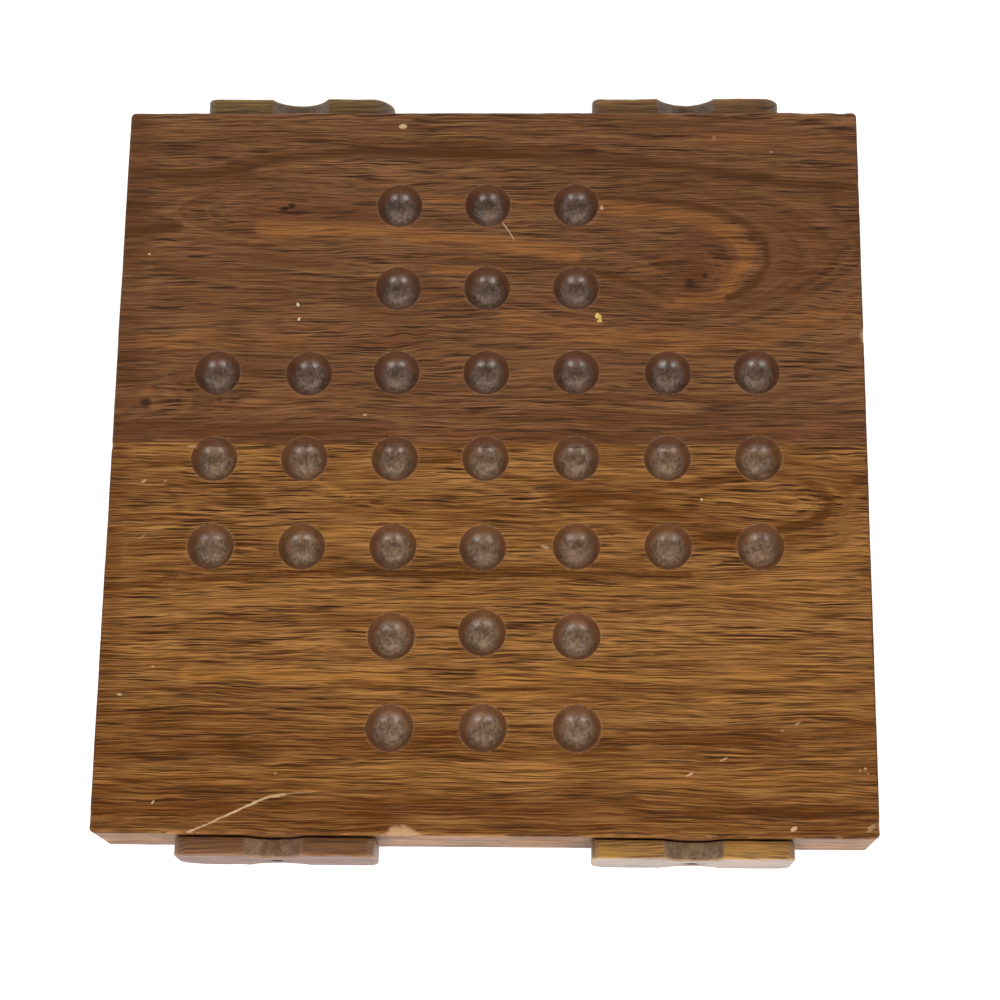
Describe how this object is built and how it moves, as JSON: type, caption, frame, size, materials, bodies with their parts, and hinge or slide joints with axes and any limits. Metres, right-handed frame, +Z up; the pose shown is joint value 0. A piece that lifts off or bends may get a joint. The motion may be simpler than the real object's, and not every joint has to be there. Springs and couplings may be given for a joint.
{
  "type": "marble solitaire board",
  "caption": "Square wooden solitaire board with a cross of round dimples for marbles and waisted turn buttons on pins along its front and rear edges.",
  "frame": {"origin": "centre of the underside, on the surface that the board lies on", "axes": "+Z up, out of the dimpled face; +X to the right along the grain; -Y towards the front edge, where the golden plank is"},
  "size_m": [0.212, 0.222, 0.026],
  "materials": {
    "rear_walnut": "reddish brown walnut, satin, worn",
    "front_walnut": "golden brown walnut, satin, worn",
    "button_walnut": "brown walnut, worn matt",
    "pin_steel": "dark, dulled steel"
  },
  "bodies": {
    "board": {"rear_plank": "rear_walnut", "front_plank": "front_walnut", "pin_front_left": "pin_steel", "pin_front_right": "pin_steel", "pin_rear_left": "pin_steel", "pin_rear_right": "pin_steel"},
    "button_front_left": {"button_front_left": "button_walnut"},
    "button_front_right": {"button_front_right": "button_walnut"},
    "button_rear_left": {"button_rear_left": "button_walnut"},
    "button_rear_right": {"button_rear_right": "button_walnut"}
  },
  "joints": [
    {"name": "button_front_left_turn", "type": "hinge", "parent": "board", "child": "button_front_left", "pos_m": [-0.05645, -0.1084, 0.013], "axis": [0, -1, 0], "continuous": true},
    {"name": "button_front_right_turn", "type": "hinge", "parent": "board", "child": "button_front_right", "pos_m": [0.05645, -0.1084, 0.013], "axis": [0, -1, 0], "continuous": true},
    {"name": "button_rear_left_turn", "type": "hinge", "parent": "board", "child": "button_rear_left", "pos_m": [-0.05645, 0.1084, 0.013], "axis": [0, 1, 0], "continuous": true},
    {"name": "button_rear_right_turn", "type": "hinge", "parent": "board", "child": "button_rear_right", "pos_m": [0.05645, 0.1084, 0.013], "axis": [0, 1, 0], "continuous": true}
  ]
}
